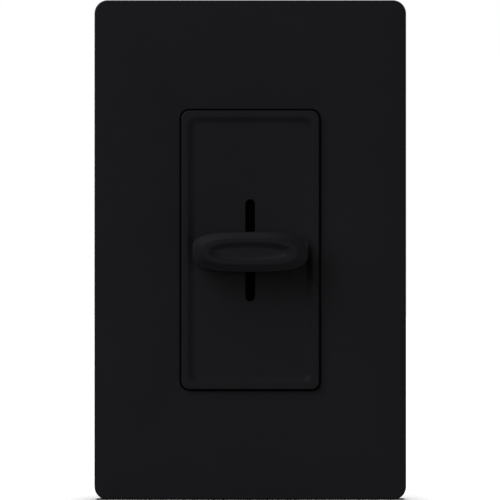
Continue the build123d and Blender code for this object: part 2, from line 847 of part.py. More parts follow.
with BuildPart() as lead_eyelets:
    with BuildSketch(plane_at(board_back)):
        with Locations(*lead_exits):
            Circle(eyelet_outer)
    extrude(amount=board_thick)
    for out in (board_back - eyelet_flange_thick, board_out):
        with BuildSketch(plane_at(out)):
            with Locations(*lead_exits):
                Circle(eyelet_flange)
        extrude(amount=eyelet_flange_thick)
    with BuildSketch(plane_at(board_back - eyelet_flange_thick)):
        with Locations(*lead_exits):
            Circle(eyelet_bore)
    extrude(amount=board_thick + 2 * eyelet_flange_thick, mode=Mode.SUBTRACT)
lead_eyelets.part.label = "lead_eyelets"
export_step(lead_eyelets.part, "parts/lead_eyelets.step")

solder_taper = math.degrees(math.atan2(solder_radius - solder_tip, solder_high))

with BuildPart() as solder_joints:
    for pins, face_out, direction in (
        (back_part_pins + diac_pins + resistor_pins + choke_pins, board_out, 1),
        (list(pot_pins) + triac_pins + bar_pins, board_back, -1),
    ):
        with BuildSketch(plane_at(face_out)):
            with Locations(*pins):
                Circle(solder_radius)
        extrude(amount=direction * solder_high, taper=solder_taper)
solder_joints.part.label = "solder_joints"
export_step(solder_joints.part, "parts/solder_joints.step")

# ---------------------------------------------------------------- triac

triac_middle_x = (triac_tab_x[0] + triac_body_x[1]) / 2
triac_length = triac_body_x[1] - triac_tab_x[0]

with BuildPart() as triac_insulator:
    with BuildSketch(plane_at(-insulator_thick)):
        with Locations((triac_middle_x, triac_z)):
            Rectangle(triac_length + 2 * insulator_margin, triac_height + 2 * insulator_margin)
        with Locations((rivet_x, triac_z)):
            Circle(rivet_radius + rivet_clearance, mode=Mode.SUBTRACT)
    extrude(amount=insulator_thick)
triac_insulator.part.label = "triac_insulator"
export_step(triac_insulator.part, "parts/triac_insulator.step")

with BuildPart() as triac_tab:
    with BuildSketch(plane_at(-insulator_thick - triac_tab_thick)):
        with Locations(((triac_tab_x[0] + triac_tab_x[1]) / 2, triac_z)):
            Rectangle(triac_tab_x[1] - triac_tab_x[0], triac_height)
        with Locations((rivet_x, triac_z)):
            Circle(rivet_radius + tab_hole_clearance, mode=Mode.SUBTRACT)
    extrude(amount=triac_tab_thick)
triac_tab.part.label = "triac_tab"
export_step(triac_tab.part, "parts/triac_tab.step")

with BuildPart() as triac_body:
    with BuildSketch(plane_at(-insulator_thick - triac_body_thick)):
        with Locations(((triac_body_x[0] + triac_body_x[1]) / 2, triac_z)):
            Rectangle(triac_body_x[1] - triac_body_x[0], triac_height)
    extrude(amount=triac_body_thick)
    chamfer(triac_body.faces().sort_by(Axis.Y)[-1].edges(), triac_edge)
triac_body.part.label = "triac_body"
export_step(triac_body.part, "parts/triac_body.step")

with BuildPart() as triac_leads:
    lead_low_out = -insulator_thick - triac_lead_drop
    for pin_x, pin_z in triac_pins:
        with BuildSketch(plane_at(lead_low_out - triac_lead_thick)):
            with Locations(((triac_body_x[1] + pin_x + triac_lead_thick / 2) / 2, pin_z)):
                Rectangle(pin_x + triac_lead_thick / 2 - triac_body_x[1], triac_lead_width)
        extrude(amount=triac_lead_thick)
        with BuildSketch(plane_at(board_back)):
            with Locations((pin_x, pin_z)):
                Rectangle(triac_lead_thick, triac_lead_width)
        extrude(amount=lead_low_out - board_back)
triac_leads.part.label = "triac_leads"
export_step(triac_leads.part, "parts/triac_leads.step")

with BuildPart() as triac_rivet:
    rivet_tail_out = -insulator_thick - triac_tab_thick
    with BuildSketch(plane_at(rivet_tail_out)):
        with Locations((rivet_x, triac_z)):
            Circle(rivet_radius)
    extrude(amount=yoke_thick - rivet_tail_out)
    for out in (yoke_thick, rivet_tail_out - rivet_head_thick):
        with BuildSketch(plane_at(out)):
            with Locations((rivet_x, triac_z)):
                Circle(rivet_head_radius)
        extrude(amount=rivet_head_thick)
triac_rivet.part.label = "triac_rivet"
export_step(triac_rivet.part, "parts/triac_rivet.step")

# ---------------------------------------------------------------- interference choke

choke_axis = Axis((choke_x, 0, choke_z), (0, 1, 0))
choke_mean = (choke_inner + choke_outer) / 2
choke_section = choke_outer - choke_inner

with BuildPart() as choke_core:
    with BuildSketch(Plane.XY.offset(choke_z)):
        with Locations((choke_x + choke_mean, -choke_centre_out)):
            RectangleRounded(choke_section, choke_high, choke_edge)
    revolve(axis=choke_axis)
choke_core.part.label = "choke_core"
export_step(choke_core.part, "parts/choke_core.step")

with BuildPart() as choke_winding:
    with BuildSketch(Plane.XY.offset(choke_z)):
        with Locations((choke_x + choke_mean, -choke_centre_out)):
            RectangleRounded(choke_section + 2 * winding_thick, choke_high + 2 * winding_thick, winding_edge)
            RectangleRounded(choke_section, choke_high, choke_edge, mode=Mode.SUBTRACT)
    revolve(axis=choke_axis, revolution_arc=winding_arc)
choke_winding.part.label = "choke_winding"
export_step(choke_winding.part, "parts/choke_winding.step")

# ---------------------------------------------------------------- capacitors, resistors and diac

with BuildPart() as filter_capacitor:
    with BuildSketch(plane_at(board_back - capacitor_stand)):
        with Locations((film_cap_x, film_cap_z)):
            Rectangle(film_cap_size[0], film_cap_size[1])
    extrude(amount=-film_cap_size[2])
    fillet(filter_capacitor.faces().sort_by(Axis.Y)[-1].edges(), capacitor_edge)
filter_capacitor.part.label = "filter_capacitor"
export_step(filter_capacitor.part, "parts/filter_capacitor.step")

with BuildPart() as timing_capacitor:
    with BuildSketch(plane_at(board_back - capacitor_stand)):
        with Locations((timing_cap_x, timing_cap_z)):
            Rectangle(timing_cap_size[0], timing_cap_size[1])
    extrude(amount=-timing_cap_size[2])
    fillet(timing_capacitor.faces().sort_by(Axis.Y)[-1].edges(), capacitor_edge)
timing_capacitor.part.label = "timing_capacitor"
export_step(timing_capacitor.part, "parts/timing_capacitor.step")

with BuildPart() as diac:
    with BuildSketch(Plane.YZ.offset(diac_x - diac_length / 2)):
        with Locations((-axial_out, diac_z)):
            Circle(diac_radius)
    extrude(amount=diac_length)
diac.part.label = "diac"
export_step(diac.part, "parts/diac.step")

with BuildPart() as resistors:
    for resistor_x, resistor_z in resistor_places:
        with BuildSketch(Plane.XY.offset(resistor_z - resistor_length / 2)):
            with Locations((resistor_x, -axial_out)):
                Circle(resistor_radius)
        extrude(amount=resistor_length)
    fillet(resistors.edges().filter_by(GeomType.CIRCLE), resistor_edge)
resistors.part.label = "resistors"
export_step(resistors.part, "parts/resistors.step")

with BuildPart() as component_leads:
    with BuildSketch(plane_at(board_back - capacitor_stand)):
        with Locations(*back_part_pins):
            Circle(pin_radius)
    extrude(amount=board_thick + capacitor_stand)
    winding_out = choke_centre_out + choke_high / 2 + winding_thick
    with BuildSketch(plane_at(winding_out)):
        with Locations(*choke_pins):
            Circle(pin_radius)
    extrude(amount=board_out - winding_out)
    # bent leads of the axial parts
    for side in signs:
        ends = [((diac_x, diac_z), (1, 0), diac_length / 2, diac_pitch / 2)]
        for place in resistor_places:
            ends.append((place, (0, 1), resistor_length / 2, resistor_pitch / 2))
        for (centre_x, centre_z), (along_x, along_z), near, far in ends:
            start = (centre_x + side * near * along_x, -axial_out, centre_z + side * near * along_z)
            corner = (centre_x + side * far * along_x, -axial_out, centre_z + side * far * along_z)
            end = (corner[0], -board_out, corner[2])
            with BuildLine():
                FilletPolyline(start, corner, end, radius=lead_bend)
            with BuildSketch(Plane(origin=start, z_dir=(side * along_x, 0, side * along_z))):
                Circle(pin_radius)
            sweep()
component_leads.part.label = "component_leads"
export_step(component_leads.part, "parts/component_leads.step")

# ---------------------------------------------------------------- back housing

with BuildPart() as back_housing:
    with BuildSketch(plane_at(housing_back)):
        RectangleRounded(housing_width, housing_height, housing_corner)
    extrude(amount=housing_depth)
    fillet(back_housing.faces().sort_by(Axis.Y)[-1].edges(), housing_edge_round)
    with BuildSketch(plane_at(housing_back + housing_wall)):
        Rectangle(housing_width - 2 * housing_wall, housing_height - 2 * housing_wall)
    extrude(amount=housing_depth - housing_wall, mode=Mode.SUBTRACT)
    with BuildSketch(plane_at(housing_back + housing_wall)):
        with GridLocations(2 * post_x, 2 * post_z, 2, 2):
            Circle(post_radius)
    extrude(amount=housing_depth - housing_wall)
    with BuildSketch(plane_at(-post_screw_depth)):
        with GridLocations(2 * post_x, 2 * post_z, 2, 2):
            Circle(housing_screw_radius + screw_clearance)
    extrude(amount=post_screw_depth, mode=Mode.SUBTRACT)
    # ledges that the circuit board rests on
    with BuildSketch(plane_at(housing_back + housing_wall)):
        with GridLocations(housing_width - 2 * housing_wall - rib_width, 2 * rib_z, 2, 2):
            Rectangle(rib_width, rib_height)
    extrude(amount=board_back - housing_back - housing_wall)
    # collars round the holes for the leads
    with BuildSketch(plane_at(housing_back)):
        with Locations(*lead_exits):
            Circle(lead_exit_collar)
    extrude(amount=-lead_exit_collar_high)
    with BuildSketch(plane_at(housing_back - lead_exit_collar_high)):
        with Locations(*lead_exits):
            Circle(lead_exit_radius)
    extrude(amount=housing_wall + lead_exit_collar_high, mode=Mode.SUBTRACT)
back_housing.part.label = "back_housing"
export_step(back_housing.part, "parts/back_housing.step")

with BuildPart() as housing_screws:
    housing_screw_reach = post_screw_depth - housing_screw_short
    with BuildSketch(plane_at(-housing_screw_reach)):
        with GridLocations(2 * post_x, 2 * post_z, 2, 2):
            Circle(housing_screw_radius)
    extrude(amount=yoke_thick + housing_screw_reach)
    with BuildSketch(plane_at(yoke_thick)):
        with GridLocations(2 * post_x, 2 * post_z, 2, 2):
            Circle(housing_screw_head)
    extrude(amount=housing_screw_head_high)
    screw_head_faces = housing_screws.faces().group_by(Axis.Y)[0]
    fillet(screw_head_faces.edges(), housing_screw_round)
    with BuildSketch(plane_at(yoke_thick + housing_screw_head_high)):
        with GridLocations(2 * post_x, 2 * post_z, 2, 2):
            Rectangle(housing_screw_head, cross_slot_width)
            Rectangle(cross_slot_width, housing_screw_head)
    extrude(amount=-cross_slot_depth, mode=Mode.SUBTRACT)
housing_screws.part.label = "housing_screws"
export_step(housing_screws.part, "parts/housing_screws.step")
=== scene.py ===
import json
import math

import bpy
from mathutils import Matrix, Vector

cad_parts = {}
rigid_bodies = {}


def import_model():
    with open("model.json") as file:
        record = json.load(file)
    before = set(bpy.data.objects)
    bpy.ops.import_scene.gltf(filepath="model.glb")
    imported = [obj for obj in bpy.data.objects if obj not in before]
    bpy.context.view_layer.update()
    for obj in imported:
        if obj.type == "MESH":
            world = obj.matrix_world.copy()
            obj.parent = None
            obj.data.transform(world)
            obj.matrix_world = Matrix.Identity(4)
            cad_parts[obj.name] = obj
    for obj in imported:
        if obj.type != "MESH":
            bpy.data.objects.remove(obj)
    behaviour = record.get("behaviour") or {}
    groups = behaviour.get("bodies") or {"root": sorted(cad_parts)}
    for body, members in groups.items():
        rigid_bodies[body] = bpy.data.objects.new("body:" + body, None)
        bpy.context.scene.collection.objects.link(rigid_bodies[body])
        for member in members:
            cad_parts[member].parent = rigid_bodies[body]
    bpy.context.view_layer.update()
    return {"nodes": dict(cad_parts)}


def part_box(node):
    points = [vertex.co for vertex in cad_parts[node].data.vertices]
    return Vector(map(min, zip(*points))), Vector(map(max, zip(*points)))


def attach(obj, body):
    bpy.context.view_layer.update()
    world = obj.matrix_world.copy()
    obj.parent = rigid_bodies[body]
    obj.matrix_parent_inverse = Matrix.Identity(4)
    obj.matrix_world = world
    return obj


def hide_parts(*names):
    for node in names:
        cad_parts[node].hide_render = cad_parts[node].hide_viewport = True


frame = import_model()

# The dimmer stands as it is fixed to a wall: +Z up, the room towards -Y, the wall on the plane y = 0.
# An "out" value is a distance in front of the wall plane, in metres.

MM = 0.001
MICRON = 0.001 * MM
BODY = "dimmer_body"
SLIDER = "slider"

# ---------------------------------------------------------------- places, from the frame

cover_low, cover_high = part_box("wallplate_cover")
insert_low, insert_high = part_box("face_insert")
knob_low, knob_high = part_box("slider_knob")
knob_z = ((knob_low + knob_high) / 2).z
cover_out = -cover_low.y
insert_out = -insert_low.y
knob_foot_out = -knob_high.y
knob_crest_out = -knob_low.y
floor_z = cover_low.z

# ---------------------------------------------------------------- mesh helpers

CORNER_STEPS = 10
EDGE_STEPS = 6
SHARP_EDGE = 32.0       # degrees: faces that meet more sharply than this keep a hard edge


def rounded_ring(width, height, corner, out, centre_z=0.0):
    """Points of a rounded rectangle in front of the wall, anticlockwise as seen from the room."""
    points = []
    corners = ((1, 1, 0), (-1, 1, 90), (-1, -1, 180), (1, -1, 270))
    for side_x, side_z, start in corners:
        middle_x = side_x * (width / 2 - corner)
        middle_z = centre_z + side_z * (height / 2 - corner)
        for step in range(CORNER_STEPS + 1):
            angle = math.radians(start + 90 * step / CORNER_STEPS)
            x = middle_x + corner * math.cos(angle)
            z = middle_z + corner * math.sin(angle)
            points.append((x, -out, z))
    return points


def ring_faces(first, second, count):
    """Quads between two rings of the same count, which start at vertices first and second."""
    faces = []
    for i in range(count):
        j = (i + 1) % count
        faces.append((first + i, first + j, second + j, second + i))
    return faces


def loft(rings, closed=False, cap_first=False, cap_last=False):
    """Vertices and faces of a skin over rings in order, its outside facing away from the solid."""
    count = len(rings[0])
    verts = [point for ring in rings for point in ring]
    faces = []
    for k in range(len(rings) - 1):
        faces += ring_faces(k * count, (k + 1) * count, count)
    if closed:
        faces += ring_faces((len(rings) - 1) * count, 0, count)
    if cap_first:
        faces.append(tuple(reversed(range(count))))
    if cap_last:
        faces.append(tuple((len(rings) - 1) * count + i for i in range(count)))
    return verts, faces


def box_part(low, high):
    """Vertices and faces of a plain block, used only inside a larger mesh."""
    xs, ys, zs = zip(low, high)
    verts = [(x, y, z) for x in xs for y in ys for z in zs]
    faces = [(0, 1, 3, 2), (4, 6, 7, 5), (0, 4, 5, 1), (2, 3, 7, 6), (0, 2, 6, 4), (1, 5, 7, 3)]
    return verts, faces


def joined(parts):
    """Several (vertices, faces) pairs as one."""
    verts, faces = [], []
    for part_verts, part_faces in parts:
        base = len(verts)
        verts += part_verts
        faces += [tuple(base + i for i in face) for face in part_faces]
    return verts, faces


def piece(name, shape, body, material, node, sharp=SHARP_EDGE):
    """Adds a finished mesh object that rides on a body and stands for a CAD node."""
    mesh = bpy.data.meshes.new(name)
    mesh.from_pydata(shape[0], [], shape[1])
    mesh.validate()
    mesh.shade_smooth()
    mesh.set_sharp_from_angle(angle=math.radians(sharp))
    made = bpy.data.objects.new(name, mesh)
    bpy.context.scene.collection.objects.link(made)
    mesh.materials.append(material)
    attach(made, body)
    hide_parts(node)


# ---------------------------------------------------------------- materials

# Noise lies mostly between these two values, which give a finish's lowest and highest roughness.
NOISE_LOW = 0.3
NOISE_HIGH = 0.7


class Finish:
    """A node material with one Principled shader and textures in object coordinates."""

    def __init__(self, name, roughness, metallic=0.0, specular=0.5):
        self.material = bpy.data.materials.new(name)
        self.material.use_nodes = True
        self.nodes = self.material.node_tree.nodes
        self.links = self.material.node_tree.links
        self.shader = self.nodes["Principled BSDF"]
        self.shader.inputs["Roughness"].default_value = roughness
        self.shader.inputs["Metallic"].default_value = metallic
        self.shader.inputs["Specular IOR Level"].default_value = specular
        self.place = self.nodes.new("ShaderNodeTexCoord").outputs["Object"]

    def stretched(self, x, y, z):
        """Object coordinates stretched by a factor along each axis."""
        node = self.nodes.new("ShaderNodeMapping")
        node.inputs["Scale"].default_value = (x, y, z)
        self.links.new(self.place, node.inputs["Vector"])
        return node.outputs["Vector"]

    def noise(self, scale, detail=3.0, rough=0.55, place=None):
        """Noise from 0 to 1, with about scale features to a metre."""
        node = self.nodes.new("ShaderNodeTexNoise")
        node.inputs["Scale"].default_value = scale
        node.inputs["Detail"].default_value = detail
        node.inputs["Roughness"].default_value = rough
        self.links.new(place or self.place, node.inputs["Vector"])
        return node.outputs["Fac"]

    def colour(self, value, *stops):
        """Base colour from a value, through a ramp with two (position, colour) stops."""
        node = self.nodes.new("ShaderNodeValToRGB")
        for element, (position, colour) in zip(node.color_ramp.elements, stops):
            element.position = position
            element.color = (*colour, 1.0)
        self.links.new(value, node.inputs["Fac"])
        self.links.new(node.outputs["Color"], self.shader.inputs["Base Color"])

    def rough_between(self, value, low, high):
        """Roughness from low to high as a noise value rises."""
        node = self.nodes.new("ShaderNodeMapRange")
        node.inputs["From Min"].default_value = NOISE_LOW
        node.inputs["From Max"].default_value = NOISE_HIGH
        node.inputs["To Min"].default_value = low
        node.inputs["To Max"].default_value = high
        self.links.new(value, node.inputs["Value"])
        self.links.new(node.outputs["Result"], self.shader.inputs["Roughness"])

    def bumped(self, *layers):
        """Bump from (value, depth in metres) layers, one on top of another."""
        normal = None
        for value, depth in layers:
            node = self.nodes.new("ShaderNodeBump")
            node.inputs["Strength"].default_value = 1.0
            node.inputs["Distance"].default_value = depth
            self.links.new(value, node.inputs["Height"])
            if normal:
                self.links.new(normal, node.inputs["Normal"])
            normal = node.outputs["Normal"]
        self.links.new(normal, self.shader.inputs["Normal"])


def shade(colour, factor):
    """A colour made darker or lighter by a factor."""
    return tuple(channel * factor for channel in colour)


def moulded(name, colour, low=0.26, high=0.32, specular=0.04, grain=5200.0, depth=2.2 * MICRON):
    """Moulded plastic: spark-eroded grain, slow waviness, slight change of tone and gloss."""
    made = Finish(name, low, specular=specular)
    tone = made.noise(scale=55.0, detail=2.0)
    made.colour(tone, (0.35, shade(colour, 0.97)), (0.65, shade(colour, 1.03)))
    made.rough_between(made.noise(scale=240.0), low, high)
    waves = made.noise(scale=18.0, detail=1.0)
    made.bumped((waves, 10 * MICRON), (made.noise(scale=grain, detail=2.0), depth))
    return made.material


DRAWN_ACROSS = (1.0, 1.0, 12.0)     # squeezes noise along Z, into lines that run across the slot
EVEN = (1.0, 1.0, 1.0)


def sheet_metal(name, colour, direction=DRAWN_ACROSS, low=0.22, high=0.4, depth=4 * MICRON):
    """Metal with fine lines drawn or rolled in one direction, or an even grain, and a few dull patches."""
    made = Finish(name, low, metallic=1.0)
    lines = made.noise(scale=900.0, detail=4.0, rough=0.7, place=made.stretched(*direction))
    patches = made.noise(scale=90.0)
    made.colour(patches, (0.3, shade(colour, 0.82)), (0.7, shade(colour, 1.06)))
    made.rough_between(lines, low, high)
    made.bumped((lines, depth))
    return made.material


def speckled(name, first, second, scale, low, high, depth):
    """Two tones mixed in fine specks, for laminates, cores and coatings."""
    made = Finish(name, low, specular=0.4)
    specks = made.noise(scale=scale, detail=6.0, rough=0.7)
    made.colour(specks, (0.4, first), (0.6, second))
    made.rough_between(made.noise(scale=scale / 6), low, high)
    made.bumped((specks, depth))
    return made.material


BLACK = (0.0088, 0.0090, 0.0102)

plate_black = moulded("plate_black", BLACK)
insert_black = moulded("insert_black", BLACK)
knob_black = moulded("knob_black", shade(BLACK, 0.94), specular=0.048)
zinc = sheet_metal("zinc", (0.60, 0.61, 0.60), direction=EVEN, low=0.24, high=0.42)
copper = sheet_metal("copper", (0.72, 0.30, 0.13), direction=EVEN, low=0.16, high=0.26)
green_dye = sheet_metal("green_dye", (0.02, 0.26, 0.07), direction=EVEN, low=0.25, high=0.45)

# ---------------------------------------------------------------- finishes of the CAD's own nodes

adapter_black = moulded(
    "adapter_black", (0.016, 0.016, 0.017), low=0.5, high=0.6, specular=0.2, depth=4 * MICRON
)
housing_black = moulded(
    "housing_black", (0.022, 0.022, 0.024), low=0.45, high=0.62, specular=0.3, grain=2600.0, depth=12 * MICRON
)
nylon_black = moulded("nylon_black", (0.018, 0.018, 0.018), low=0.38, high=0.5, specular=0.3)
# The slot shield is a real black strip behind the slot. Its near-zero colour, far darker than the other
# plastics here, is painted shade that makes the slot read as a deep black cavity.
shield_painted_shade = moulded("shield_painted_shade", (0.0006, 0.0006, 0.0007), low=0.9, high=1.0, specular=0.03)
nylon_white = moulded("nylon_white", (0.72, 0.69, 0.6), low=0.35, high=0.5, specular=0.5)
spring = sheet_metal("spring", (0.42, 0.42, 0.43), low=0.18, high=0.3)
rolled_aluminium = sheet_metal("rolled_aluminium", (0.74, 0.75, 0.76), low=0.28, high=0.5, depth=6 * MICRON)
rivet_metal = sheet_metal("rivet_metal", (0.70, 0.71, 0.72), direction=EVEN, low=0.3, high=0.45)
brass = sheet_metal("brass", (0.78, 0.58, 0.27), low=0.2, high=0.35)
solder = sheet_metal("solder", (0.68, 0.69, 0.70), direction=EVEN, low=0.2, high=0.4)

# Each row: first and second tone, specks to a metre, lowest and highest roughness, depth of the specks.
SPECKLED = {
    "phenolic": ((0.16, 0.07, 0.03), (0.26, 0.13, 0.06), 1400.0, 0.4, 0.55, 4 * MICRON),
    "carbon": ((0.012, 0.012, 0.012), (0.03, 0.03, 0.03), 6000.0, 0.5, 0.7, 3 * MICRON),
    "laminate": ((0.36, 0.25, 0.09), (0.46, 0.34, 0.15), 800.0, 0.35, 0.5, 5 * MICRON),
    "mica": ((0.66, 0.62, 0.50), (0.80, 0.77, 0.66), 300.0, 0.15, 0.3, 2 * MICRON),
    "epoxy": ((0.014, 0.014, 0.014), (0.026, 0.026, 0.026), 2500.0, 0.5, 0.65, 8 * MICRON),
    "ferrite": ((0.42, 0.38, 0.06), (0.56, 0.50, 0.12), 1200.0, 0.3, 0.45, 8 * MICRON),
    "film_yellow": ((0.62, 0.42, 0.05), (0.70, 0.50, 0.09), 900.0, 0.3, 0.42, 6 * MICRON),
    "film_red": ((0.36, 0.04, 0.02), (0.46, 0.07, 0.04), 900.0, 0.2, 0.35, 6 * MICRON),
    "diac_glass": ((0.06, 0.14, 0.40), (0.10, 0.22, 0.52), 1500.0, 0.1, 0.2, 2 * MICRON),
    "lacquer": ((0.55, 0.38, 0.20), (0.66, 0.50, 0.30), 1500.0, 0.2, 0.35, 4 * MICRON),
}
speckles = {name: speckled(name, *row) for name, row in SPECKLED.items()}

CAD_FINISHES = {
    "wallplate_adapter": adapter_black,
    "mounting_yoke": rolled_aluminium,
    "screw_retainers": nylon_white,
    "slider_carriage": nylon_black,
    "slot_shield": shield_painted_shade,
    "friction_springs": spring,
    "switch_actuator": nylon_white,
    "switch_bridge": brass,
    "switch_base": speckles["phenolic"],
    "switch_contact_bars": brass,
    "detent_spring": spring,
    "pot_frame": zinc,
    "pot_track_board": speckles["phenolic"],
    "pot_tracks": speckles["carbon"],
    "pot_terminals": brass,
    "pot_wiper_block": nylon_black,
    "pot_wiper_fingers": brass,
    "circuit_board": speckles["laminate"],
    "lead_eyelets": brass,
    "solder_joints": solder,
    "triac_insulator": speckles["mica"],
    "triac_tab": zinc,
    "triac_body": speckles["epoxy"],
    "triac_leads": solder,
    "triac_rivet": rivet_metal,
    "choke_core": speckles["ferrite"],
    "filter_capacitor": speckles["film_yellow"],
    "timing_capacitor": speckles["film_red"],
    "diac": speckles["diac_glass"],
    "resistors": speckles["lacquer"],
    "component_leads": solder,
    "back_housing": housing_black,
    "housing_screws": zinc,
}

for node_name, finish in CAD_FINISHES.items():
    node_mesh = frame["nodes"][node_name].data
    node_mesh.materials.clear()
    node_mesh.materials.append(finish)

# ---------------------------------------------------------------- wallplate cover

PLATE_CORNER = 3.2 * MM
PLATE_EDGE = 0.45 * MM
PLATE_WALL = 1.8 * MM
PLATE_SKIN = 2.0 * MM
OPENING_WIDTH = 33.6 * MM
OPENING_HEIGHT = 67.2 * MM
OPENING_CORNER = 2.2 * MM
OPENING_EDGE = 0.15 * MM
COLLAR = 1.0 * MM
COLLAR_DEPTH = 1.2 * MM
HOOK_WIDTH = 8.0 * MM
HOOK_REACH = 1.1 * MM
HOOK_LOW = 0.4 * MM
HOOK_HIGH = 1.5 * MM
HOOK_X = 20.0 * MM
HOOK_ROOT = 0.2 * MM        # how far the hooks run into the wall


def edge_rings(width, height, corner, out, radius, inward=True):
    """Rings round a rounded edge: from the side wall to the front face, or from the face into an opening."""
    rings = []
    for step in range(EDGE_STEPS + 1):
        angle = math.pi / 2 * step / EDGE_STEPS
        if inward:
            inset = radius * (1 - math.cos(angle))
            drop = radius * (1 - math.sin(angle))
        else:
            inset = -radius * (1 - math.sin(angle))
            drop = radius * (1 - math.cos(angle))
        rings.append(rounded_ring(width - 2 * inset, height - 2 * inset, corner - inset, out - drop))
    return rings


def hook_part(x, side, wall_z):
    """A wedge-shaped hook on the inside of the cover's top wall, side 1, or bottom wall, side -1."""
    root = side * (wall_z + HOOK_ROOT)
    tip = side * (wall_z - HOOK_REACH)
    ends = []
    for end_x in (x - HOOK_WIDTH / 2, x + HOOK_WIDTH / 2):
        ends.append([(end_x, -HOOK_LOW, root), (end_x, -HOOK_HIGH, root), (end_x, -HOOK_HIGH, tip)])
    return loft(ends[::side], cap_first=True, cap_last=True)


def cover_shape():
    """The cover's front and walls, the collar round its opening, and its four hooks."""
    width = cover_high.x - cover_low.x
    height = cover_high.z - cover_low.z
    under = cover_out - PLATE_SKIN
    outline = (width, height, PLATE_CORNER)
    opening = (OPENING_WIDTH, OPENING_HEIGHT, OPENING_CORNER)
    collar = (OPENING_WIDTH + 2 * COLLAR, OPENING_HEIGHT + 2 * COLLAR, OPENING_CORNER + COLLAR)
    inside = (width - 2 * PLATE_WALL, height - 2 * PLATE_WALL, PLATE_CORNER - PLATE_WALL)
    rings = [rounded_ring(*outline, 0.0)]
    rings += edge_rings(*outline, cover_out, PLATE_EDGE)
    rings += edge_rings(*opening, cover_out, OPENING_EDGE, inward=False)
    rings += [rounded_ring(*opening, under - COLLAR_DEPTH), rounded_ring(*collar, under - COLLAR_DEPTH)]
    rings += [rounded_ring(*collar, under), rounded_ring(*inside, under), rounded_ring(*inside, 0.0)]
    parts = [loft(rings, closed=True)]
    for side in (-1, 1):
        for hook_x in (-HOOK_X, HOOK_X):
            parts.append(hook_part(hook_x, side, height / 2 - PLATE_WALL))
    return joined(parts)


piece("cover", cover_shape(), BODY, plate_black, "wallplate_cover")

# ---------------------------------------------------------------- face insert

INSERT_WIDTH = 32.9 * MM
INSERT_HEIGHT = 66.5 * MM
INSERT_CORNER = 1.9 * MM
INSERT_EDGE = 0.22 * MM
INSERT_BACK = 1.6 * MM
INSERT_WALL = 1.3 * MM
INNER_CORNER = 0.6 * MM
FLANGE_THICK = 1.0 * MM
RECESS_WIDTH = 30.2 * MM
RECESS_HEIGHT = 63.8 * MM
RECESS_CORNER = 2.2 * MM
RECESS_CORNER_GAIN = 0.35       # part of the inset that the corner's radius gets back, so it stays round
RECESS_DEPTH = 0.44 * MM
RECESS_REACH = 2.3 * MM
RECESS_STEPS = 20
FLOOR_THICK = 1.55 * MM
SUPPORT = 0.05 * MM         # width of the flat strips that keep the floor's shading flat
SLOT_WIDTH = 2.24 * MM
SLOT_HEIGHT = 24.3 * MM
SLOT_Z = -0.1 * MM
SLOT_EDGE = 0.12 * MM
SLOT_EDGE_MIDDLE = 0.3      # share of the edge's radius at the middle of its curve
RAIL_X = 8.9 * MM
RAIL_THICK = 1.0 * MM
RAIL_LENGTH = 40.0 * MM
RAIL_FOOT = 1.9 * MM
PEG_X = 13.6 * MM
PEG_Z = 20.0 * MM
PEG_RADIUS = 1.1 * MM
PEG_BOSS = 1.75 * MM
PEG_HEAD = 1.8 * MM
PEG_HEAD_THICK = 1.0 * MM
PEG_HEAD_PROFILE = ((0.6, 1.0), (0.9, 0.8), (1.0, 0.4), (1.0, 0.0))     # shares of radius and thickness
PEG_POINTS = 40

insert_floor_out = insert_out - RECESS_DEPTH
insert_under_out = insert_floor_out - FLOOR_THICK


def side_drop(share):
    """Share of a hollow's depth at a share of the way in: the side rolls over the edge, then flattens out."""
    return 1 - (1 - share) ** 3 * (1 + 3 * share)


def recess_ring(share):
    """A ring in the recess at a share of the way down its side; past 1 it lies on the floor."""
    inset = RECESS_REACH * share
    out = insert_out - RECESS_DEPTH * side_drop(min(share, 1.0))
    corner = max(RECESS_CORNER - inset, 0.0) + RECESS_CORNER_GAIN * inset
    return rounded_ring(RECESS_WIDTH - 2 * inset, RECESS_HEIGHT - 2 * inset, corner, out)


def slot_ring(grow, out):
    """The slot's outline, grown on all sides."""
    return rounded_ring(SLOT_WIDTH + 2 * grow, SLOT_HEIGHT + 2 * grow, SLOT_WIDTH / 2 + grow, out, SLOT_Z)


def insert_rings():
    """Rings from the insert's flange over its face, down the recess, through the slot and out behind."""
    flange = (insert_high.x - insert_low.x, insert_high.z - insert_low.z, INSERT_CORNER)
    face = (INSERT_WIDTH, INSERT_HEIGHT, INSERT_CORNER)
    inside = (INSERT_WIDTH - 2 * INSERT_WALL, INSERT_HEIGHT - 2 * INSERT_WALL, INNER_CORNER)
    flange_out = INSERT_BACK + FLANGE_THICK
    middle = SLOT_EDGE_MIDDLE * SLOT_EDGE
    rings = [rounded_ring(*flange, INSERT_BACK), rounded_ring(*flange, flange_out)]
    rings.append(rounded_ring(*face, flange_out))
    rings += edge_rings(*face, insert_out, INSERT_EDGE)
    rings += [recess_ring(step / RECESS_STEPS) for step in range(RECESS_STEPS + 1)]
    rings.append(recess_ring(1 + SUPPORT / RECESS_REACH))
    rings += [slot_ring(SLOT_EDGE + SUPPORT, insert_floor_out), slot_ring(SLOT_EDGE, insert_floor_out)]
    rings.append(slot_ring(middle, insert_floor_out - middle))
    rings += [slot_ring(0.0, insert_floor_out - SLOT_EDGE), slot_ring(0.0, insert_under_out)]
    rings += [rounded_ring(*inside, insert_under_out), rounded_ring(*inside, INSERT_BACK)]
    return rings


def turned_ring(radius, out, x, z):
    """A circle in front of the wall, anticlockwise as seen from the room."""
    points = []
    for step in range(PEG_POINTS):
        angle = 2 * math.pi * step / PEG_POINTS
        points.append((x + radius * math.cos(angle), -out, z + radius * math.sin(angle)))
    return points


